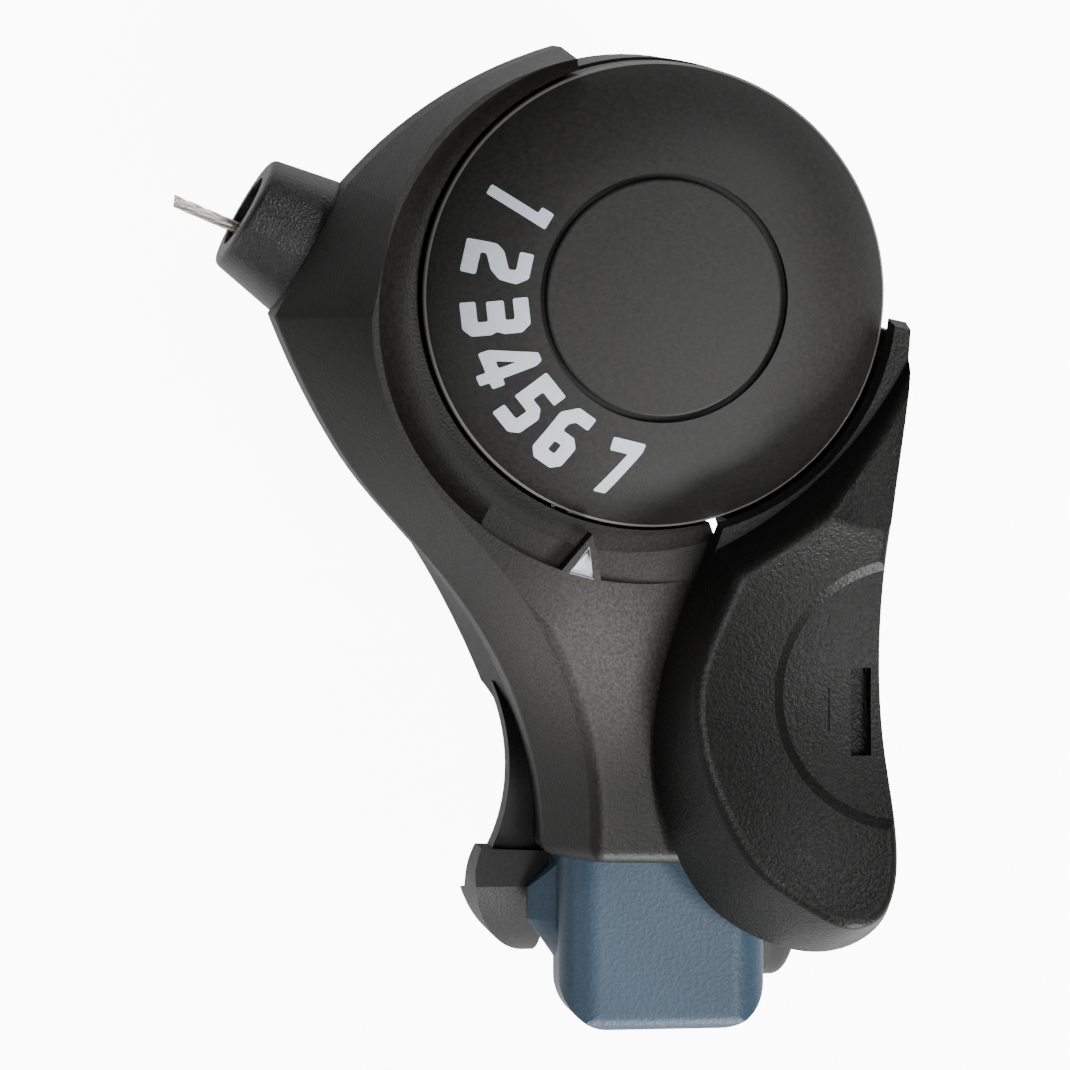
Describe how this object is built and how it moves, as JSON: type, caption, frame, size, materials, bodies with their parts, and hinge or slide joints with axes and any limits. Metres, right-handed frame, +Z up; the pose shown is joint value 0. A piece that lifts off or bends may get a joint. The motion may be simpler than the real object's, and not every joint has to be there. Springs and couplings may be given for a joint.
{
  "type": "bicycle gear shifter",
  "caption": "Thumb-operated bicycle gear shifter: handlebar clamp, domed gear dial turned by a dished thumb lever, push-button release and tapered cable stop.",
  "frame": {"origin": "middle of the handlebar bore, on its axis", "axes": "+X along the handlebar towards the rider's right, +Y forward from the bar to the dial, +Z up along the dial's axis"},
  "size_m": [0.0702, 0.0961, 0.0602],
  "materials": {
    "cover_plastic": "fine grain",
    "base_plastic": "fine grain",
    "stop_plastic": "satin",
    "bush_plastic": "smooth",
    "dial_plastic": "fine grain",
    "lever_plastic": "satin grain",
    "button_plastic": "satin",
    "steel": "plated",
    "cable_steel": "stranded"
  },
  "bodies": {
    "housing": {"top_cover": "cover_plastic", "base_body": "base_plastic", "cable_stop": "stop_plastic", "axle": "steel", "thrust_washer": "steel", "axle_washer": "steel", "axle_nut": "steel", "pawl_pin": "steel", "pawl_spring": "steel", "release_spring": "steel", "inner_cable": "cable_steel", "case_screws": "steel", "clamp_bolt": "steel", "clamp_nut": "steel"},
    "rotor": {"axle_bush": "bush_plastic", "spool": "bush_plastic", "ratchet_plate": "steel", "dial": "dial_plastic", "dial_cap": "dial_plastic", "thumb_lever": "lever_plastic"},
    "release": {"release_button": "button_plastic", "release_slider": "steel"},
    "catch": {"pawl": "steel"}
  },
  "joints": [
    {"name": "lever_turn", "type": "hinge", "parent": "housing", "child": "rotor", "pos_m": [0, 0.0495, 0], "axis": [0, 0, 1], "range_deg": [0, 107], "deforming": ["inner_cable"]},
    {"name": "button_push", "type": "slide", "parent": "housing", "child": "release", "axis": [0, 1, 0], "range_m": [0, 0.0035], "stiffness_N_per_m": 600, "springref_m": -0.004, "deforming": ["release_spring"]},
    {"name": "pawl_swing", "type": "hinge", "parent": "housing", "child": "catch", "pos_m": [-0.003, 0.0253, 0], "axis": [0, 0, 1], "range_deg": [0, 35], "deforming": ["pawl_spring"]}
  ],
  "couplings": [
    {"joint": "pawl_swing", "follows": "button_push", "rad_per_m": 174.5}
  ]
}
